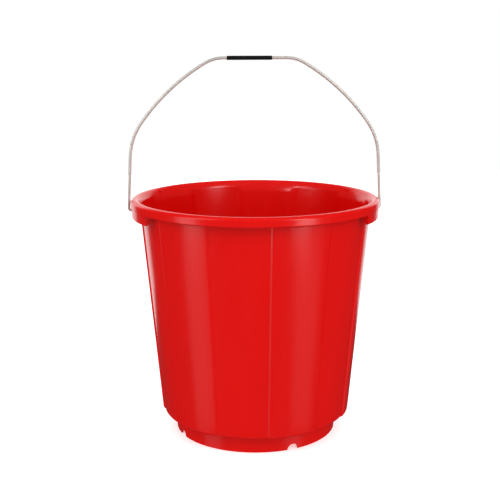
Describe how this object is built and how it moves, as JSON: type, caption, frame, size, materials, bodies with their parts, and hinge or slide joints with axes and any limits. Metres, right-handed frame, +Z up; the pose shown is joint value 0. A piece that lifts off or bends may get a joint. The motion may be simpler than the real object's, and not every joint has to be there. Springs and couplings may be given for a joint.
{
  "type": "wash bucket",
  "caption": "Round tapered plastic bucket with alternating proud and recessed wall panels, a rolled rim, a notched foot ring and a swinging wire bail with a short sleeve grip.",
  "frame": {"origin": "centre of the foot ring's underside, on the bucket's axis", "axes": "+Z up along the bucket's axis, X along the bail's pivot axis, Y the way the bail swings"},
  "size_m": [0.288, 0.2798, 0.4263],
  "materials": {
    "pail_plastic": "gloss injection-moulded polypropylene, bright red",
    "bail_wire": "drawn and galvanised steel wire, satin",
    "grip_plastic": "extruded flexible plastic sleeve, black"
  },
  "bodies": {
    "pail": {"pail": "pail_plastic"},
    "bail": {"bail": "bail_wire"},
    "grip": {"grip": "grip_plastic"}
  },
  "joints": [
    {"name": "bail_swing", "type": "hinge", "parent": "pail", "child": "bail", "pos_m": [0, 0, 0.256], "axis": [1, 0, 0], "range_deg": [-133, 133]},
    {"name": "grip_slide", "type": "slide", "parent": "bail", "child": "grip", "axis": [1, 0, 0], "range_m": [-0.003, 0.015]}
  ]
}
